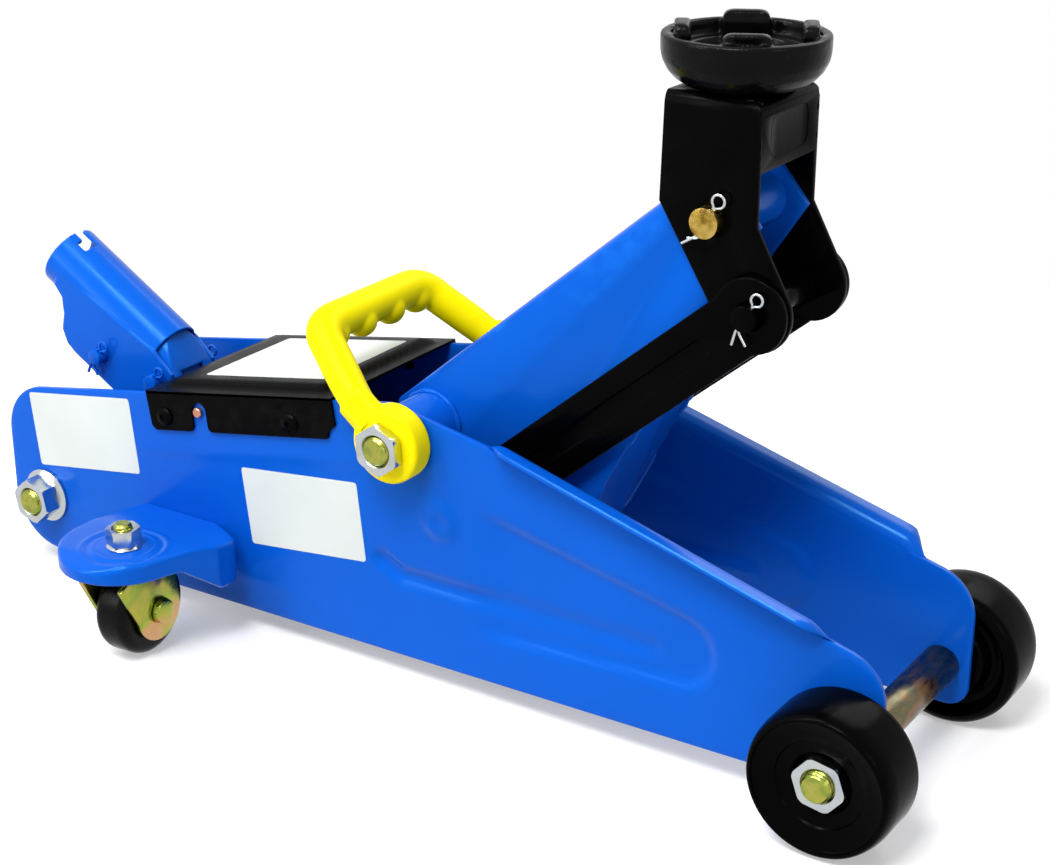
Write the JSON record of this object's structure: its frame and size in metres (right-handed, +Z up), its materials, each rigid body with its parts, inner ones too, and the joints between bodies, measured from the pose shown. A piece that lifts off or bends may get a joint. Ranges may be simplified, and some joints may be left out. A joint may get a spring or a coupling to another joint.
{
  "type": "trolley jack",
  "caption": "Low hydraulic trolley jack with pressed side plates, lift arm and parallel links, level saddle, pump handle socket, carry handle, front wheels and swivel casters.",
  "frame": {"origin": "on the floor under the middle of the bounding box, wheels and casters standing on Z = 0", "axes": "+X towards the front wheels and saddle, +Y to the left side, +Z up"},
  "size_m": [0.4594, 0.225, 0.2799],
  "materials": {
    "blue_paint": "gloss",
    "blue_casting": "rough painted",
    "black_paint": "gloss",
    "black_cover": "satin",
    "yellow_plastic": "satin",
    "zinc_plate": "bright zinc",
    "yellow_chromate": "yellow passivated zinc",
    "copper_plate": "copper coloured",
    "spring_steel": "dark oiled",
    "bare_steel": "machined",
    "ground_steel": "ground",
    "seal_rubber": "matt",
    "black_plastic": "satin"
  },
  "bodies": {
    "frame": {"side_plate_right": "blue_paint", "side_plate_left": "blue_paint", "front_axle": "yellow_chromate", "axle_nuts": "zinc_plate", "axle_washers": "zinc_plate", "tie_rod": "yellow_chromate", "tie_nuts": "zinc_plate", "cover_plate": "black_cover", "cover_screws": "black_cover", "spring_anchor_rod": "copper_plate", "pivot_shaft": "yellow_chromate", "pivot_nuts": "zinc_plate", "link_pins": "zinc_plate", "link_pin_rings": "spring_steel", "pump_block": "blue_casting", "cylinder_tube": "bare_steel", "reservoir_tube": "blue_paint", "gland_nut": "bare_steel", "rod_seal": "seal_rubber", "filler_plug": "seal_rubber", "pump_gland": "yellow_chromate", "plunger_spring": "spring_steel", "return_springs": "spring_steel", "caster_bracket_right": "blue_paint", "caster_bracket_left": "blue_paint", "caster_studs": "yellow_chromate", "caster_nuts": "zinc_plate", "caster_races": "zinc_plate"},
    "arm": {"lift_arm": "blue_paint", "crank_pin": "bare_steel"},
    "crank_roller": {"crank_roller": "bare_steel"},
    "head": {"head_bracket": "black_paint", "upper_pin": "yellow_chromate", "upper_cotters": "zinc_plate", "lower_pin": "black_paint", "lower_cotters": "zinc_plate"},
    "saddle": {"saddle": "black_paint", "saddle_clip": "spring_steel"},
    "links": {"link_left": "black_paint", "link_right": "black_paint"},
    "ram": {"ram": "ground_steel", "piston_seal": "seal_rubber"},
    "socket": {"handle_socket": "blue_paint", "socket_yoke": "blue_paint", "plunger_pin": "blue_paint", "socket_pin": "blue_paint", "socket_cotters": "blue_paint"},
    "pump_plunger": {"pump_plunger": "ground_steel"},
    "release_valve": {"release_valve": "bare_steel"},
    "carry_handle": {"carry_handle": "yellow_plastic"},
    "front_wheel_left": {"front_wheel_left": "black_paint"},
    "front_wheel_right": {"front_wheel_right": "black_paint"},
    "caster_left": {"caster_fork_left": "yellow_chromate", "caster_axle_left": "yellow_chromate"},
    "caster_right": {"caster_fork_right": "yellow_chromate", "caster_axle_right": "yellow_chromate"},
    "caster_wheel_left": {"caster_wheel_left": "black_plastic"},
    "caster_wheel_right": {"caster_wheel_right": "black_plastic"}
  },
  "joints": [
    {"name": "arm_lift", "type": "hinge", "parent": "frame", "child": "arm", "pos_m": [-0.0003, 0, 0.1075], "axis": [0, -1, 0], "range_deg": [-53.3, 24], "deforming": ["return_springs"]},
    {"name": "crank_roller_spin", "type": "hinge", "parent": "arm", "child": "crank_roller", "pos_m": [0.01674, 0, 0.04997], "axis": [0, -1, 0], "continuous": true},
    {"name": "head_level", "type": "hinge", "parent": "arm", "child": "head", "pos_m": [0.12495, 0, 0.2126], "axis": [0, -1, 0], "range_deg": [-26, 55]},
    {"name": "saddle_swivel", "type": "hinge", "parent": "head", "child": "saddle", "pos_m": [0.12495, 0, 0.2576], "axis": [0, 0, 1], "continuous": true},
    {"name": "link_swing", "type": "hinge", "parent": "frame", "child": "links", "pos_m": [0.0187, 0, 0.076], "axis": [0, -1, 0], "range_deg": [-55, 26]},
    {"name": "ram_slide", "type": "slide", "parent": "frame", "child": "ram", "axis": [1, 0, 0], "range_m": [-0.0526, 0.0238]},
    {"name": "socket_pump", "type": "hinge", "parent": "frame", "child": "socket", "pos_m": [-0.1578, 0, 0.0915], "axis": [0, 1, 0], "range_deg": [-8, 40], "deforming": ["plunger_spring"]},
    {"name": "plunger_slide", "type": "slide", "parent": "frame", "child": "pump_plunger", "axis": [0, 0, 1], "range_m": [-0.0043, 0.0211]},
    {"name": "release_valve_turn", "type": "hinge", "parent": "frame", "child": "release_valve", "pos_m": [-0.2178, 0, 0.052], "axis": [-1, 0, 0], "range_deg": [0, 180]},
    {"name": "carry_handle_swing", "type": "hinge", "parent": "frame", "child": "carry_handle", "pos_m": [-0.0003, 0, 0.1075], "axis": [0, 1, 0], "range_deg": [-5, 40]},
    {"name": "front_wheel_left_spin", "type": "hinge", "parent": "frame", "child": "front_wheel_left", "pos_m": [0.2007, 0.058, 0.029], "axis": [0, 1, 0], "continuous": true},
    {"name": "front_wheel_right_spin", "type": "hinge", "parent": "frame", "child": "front_wheel_right", "pos_m": [0.2007, -0.058, 0.029], "axis": [0, 1, 0], "continuous": true},
    {"name": "caster_left_swivel", "type": "hinge", "parent": "frame", "child": "caster_left", "pos_m": [-0.1108, 0.0895, 0.045], "axis": [0, 0, 1], "continuous": true},
    {"name": "caster_right_swivel", "type": "hinge", "parent": "frame", "child": "caster_right", "pos_m": [-0.1108, -0.0895, 0.045], "axis": [0, 0, 1], "continuous": true},
    {"name": "caster_wheel_left_spin", "type": "hinge", "parent": "caster_left", "child": "caster_wheel_left", "pos_m": [-0.11126, 0.08302, 0.0205], "axis": [0.9976, -0.0698, 0], "continuous": true},
    {"name": "caster_wheel_right_spin", "type": "hinge", "parent": "caster_right", "child": "caster_wheel_right", "pos_m": [-0.11126, -0.08302, 0.0205], "axis": [0.9976, 0.0698, 0], "continuous": true}
  ],
  "couplings": [
    {"joint": "head_level", "follows": "arm_lift", "ratio": -1},
    {"joint": "link_swing", "follows": "arm_lift", "ratio": 1},
    {"joint": "ram_slide", "follows": "arm_lift", "m_per_rad": 0.05635},
    {"joint": "plunger_slide", "follows": "socket_pump", "m_per_rad": 0.0299}
  ]
}
